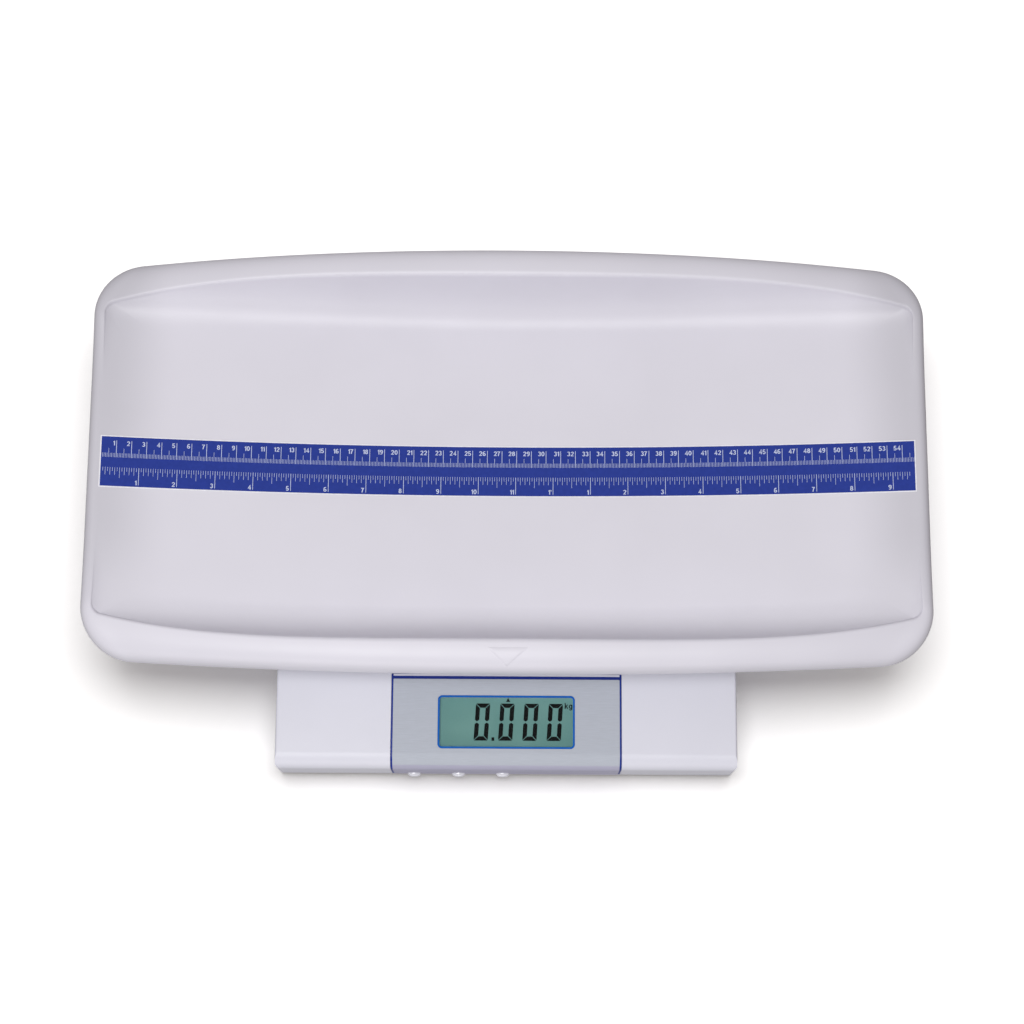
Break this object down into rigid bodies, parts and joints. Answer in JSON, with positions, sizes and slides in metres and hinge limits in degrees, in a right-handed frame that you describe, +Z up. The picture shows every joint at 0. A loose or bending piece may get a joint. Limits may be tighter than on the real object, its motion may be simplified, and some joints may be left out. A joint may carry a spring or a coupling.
{
  "type": "digital baby weighing scale",
  "caption": "Baby weighing scale: a lift-off saddle-shaped tray with a measuring strip on a low base with a display and push buttons.",
  "frame": {"origin": "on the table, under the middle of the whole outline seen from above", "axes": "+X along the tray, to the right as the display is read; +Y from the display towards the back; +Z up"},
  "size_m": [0.5656, 0.3506, 0.1078],
  "materials": {
    "tray_plastic": "smooth white moulding",
    "ruler_print": "blue printed film",
    "housing_plastic": "smooth white moulding",
    "cover_plastic": "fine matt texture",
    "bezel_blue": "polished blue edge",
    "panel_silver": "silver printed facing",
    "lcd_blue": "blue printed border",
    "window_clear": "clear acrylic",
    "lcd_green": "green display glass",
    "holder_white": "white moulding",
    "board_green": "solder mask",
    "part_black": "moulded component",
    "screw_steel": "zinc plated",
    "button_plastic": "silver white",
    "plate_steel": "plated sheet",
    "cell_aluminium": "machined",
    "potting_white": "silicone sealant",
    "frame_grey": "powder coated sheet",
    "rubber_grey": "soft moulded rubber",
    "lead_grey": "insulated lead",
    "lead_red": "insulated lead",
    "battery_sleeve": "printed sleeve",
    "contact_nickel": "nickel plated spring sheet"
  },
  "bodies": {
    "base": {"top_housing": "housing_plastic", "bottom_cover": "cover_plastic", "panel_bezel": "bezel_blue", "panel_facing": "panel_silver", "lcd_frame": "lcd_blue", "lcd_window": "window_clear", "lcd_glass": "lcd_green", "lcd_holder": "holder_white", "main_board": "board_green", "board_parts": "part_black", "board_screws": "screw_steel", "button_board": "board_green", "button_board_screws": "screw_steel", "switch_bodies": "part_black", "base_plate": "plate_steel", "plate_screws": "screw_steel", "load_cell": "cell_aluminium", "gauge_covers": "potting_white", "lower_spacer": "cell_aluminium", "lower_cell_bolts": "screw_steel", "overload_stop": "screw_steel", "overload_nut": "screw_steel", "cell_lead": "lead_grey", "battery_leads": "lead_red", "batteries": "battery_sleeve", "battery_contacts": "contact_nickel", "rubber_feet": "rubber_grey", "housing_screws": "screw_steel"},
    "platform": {"upper_spacer": "cell_aluminium", "upper_cell_bolts": "screw_steel", "platform_frame": "frame_grey", "platform_posts": "housing_plastic", "post_screws": "screw_steel", "tray_cushions": "rubber_grey"},
    "tray": {"tray": "tray_plastic", "ruler_strip": "ruler_print"},
    "left_button": {"left_button": "button_plastic", "left_plunger": "part_black"},
    "middle_button": {"middle_button": "button_plastic", "middle_plunger": "part_black"},
    "right_button": {"right_button": "button_plastic", "right_plunger": "part_black"},
    "battery_door": {"battery_door": "cover_plastic"}
  },
  "joints": [
    {"name": "platform_sink", "type": "slide", "parent": "base", "child": "platform", "axis": [0, 0, 1], "range_m": [-0.0004, 0], "stiffness_N_per_m": 490000, "deforming": ["load_cell"]},
    {"name": "tray_lift", "type": "slide", "parent": "platform", "child": "tray", "axis": [0, 0, 1], "range_m": [0, 0.12]},
    {"name": "left_button_press", "type": "slide", "parent": "base", "child": "left_button", "axis": [0, 1, 0], "range_m": [0, 0.0008], "stiffness_N_per_m": 400},
    {"name": "middle_button_press", "type": "slide", "parent": "base", "child": "middle_button", "axis": [0, 1, 0], "range_m": [0, 0.0008], "stiffness_N_per_m": 400},
    {"name": "right_button_press", "type": "slide", "parent": "base", "child": "right_button", "axis": [0, 1, 0], "range_m": [0, 0.0008], "stiffness_N_per_m": 400},
    {"name": "battery_door_slide", "type": "slide", "parent": "base", "child": "battery_door", "axis": [0, 1, 0], "range_m": [0, 0.042]}
  ]
}
